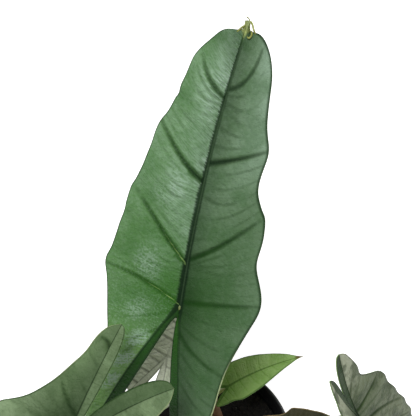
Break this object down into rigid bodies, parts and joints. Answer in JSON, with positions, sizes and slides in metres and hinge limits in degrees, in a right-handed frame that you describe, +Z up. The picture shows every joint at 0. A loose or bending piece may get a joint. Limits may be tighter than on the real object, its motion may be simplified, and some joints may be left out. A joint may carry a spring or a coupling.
{
  "type": "potted alocasia plant",
  "caption": "Potted aroid with long arrow-shaped, wavy-edged green leaves on arching brown stalks, in a plain black tapered nursery pot.",
  "frame": {"origin": "centre of the pot's flat foot, on the surface that it stands on", "axes": "+Z up out of the pot, +Y toward the tip of the largest leaf, +X toward the hanging leaf on the right"},
  "size_m": [0.4031, 0.4292, 0.4309],
  "materials": {
    "pot_plastic": "smooth black plastic, faintly shiny",
    "potting_mix": "damp dark bark and peat with pale grains",
    "corm_skin": "rough ringed brown skin",
    "leaf_green": "satin green blade with darker veins",
    "leaf_grey": "dull grey-green blade with darker veins",
    "leaf_fresh": "satin yellow-green young blade",
    "leaf_old": "brown-green ageing blade",
    "stalk_brown": "smooth red-brown stalk, faintly streaked",
    "stalk_green": "smooth green young stalk"
  },
  "bodies": {
    "root": {"pot": "pot_plastic", "soil": "potting_mix", "corm": "corm_skin", "leaf_main": "leaf_green", "petiole_main": "stalk_brown", "leaf_front": "leaf_green", "petiole_front": "stalk_brown", "leaf_right": "leaf_grey", "petiole_right": "stalk_brown", "leaf_back": "leaf_grey", "petiole_back": "stalk_brown", "leaf_young": "leaf_fresh", "petiole_young": "stalk_green", "leaf_low": "leaf_old", "petiole_low": "stalk_brown"}
  },
  "joints": []
}
